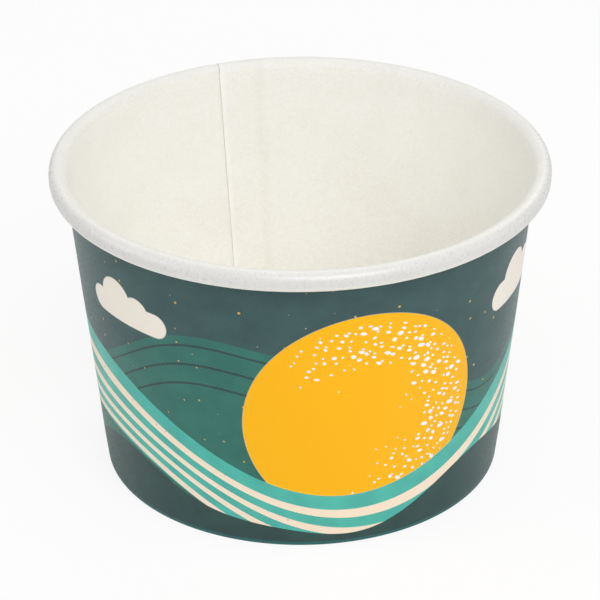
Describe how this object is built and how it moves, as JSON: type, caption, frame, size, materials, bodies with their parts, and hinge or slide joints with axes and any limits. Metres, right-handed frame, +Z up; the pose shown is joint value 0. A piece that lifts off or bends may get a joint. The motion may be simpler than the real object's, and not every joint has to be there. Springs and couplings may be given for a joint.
{
  "type": "paper dessert cup",
  "caption": "Round open dessert cup of coated board, with a rolled rim, a lapped side seam and a recessed base.",
  "frame": {"origin": "centre of the circle that the foot stands on", "axes": "+Z up along the cup's axis; the seam's edge inside the cup lies 111 degrees from +X, counter-clockwise from above"},
  "size_m": [0.095, 0.095, 0.0624],
  "materials": {
    "printed_board": "coated board, printed and satin outside, plain off-white inside and over the rim",
    "white_board": "coated board, plain off-white, satin"
  },
  "bodies": {
    "root": {"sidewall": "printed_board", "base_disc": "white_board"}
  },
  "joints": []
}
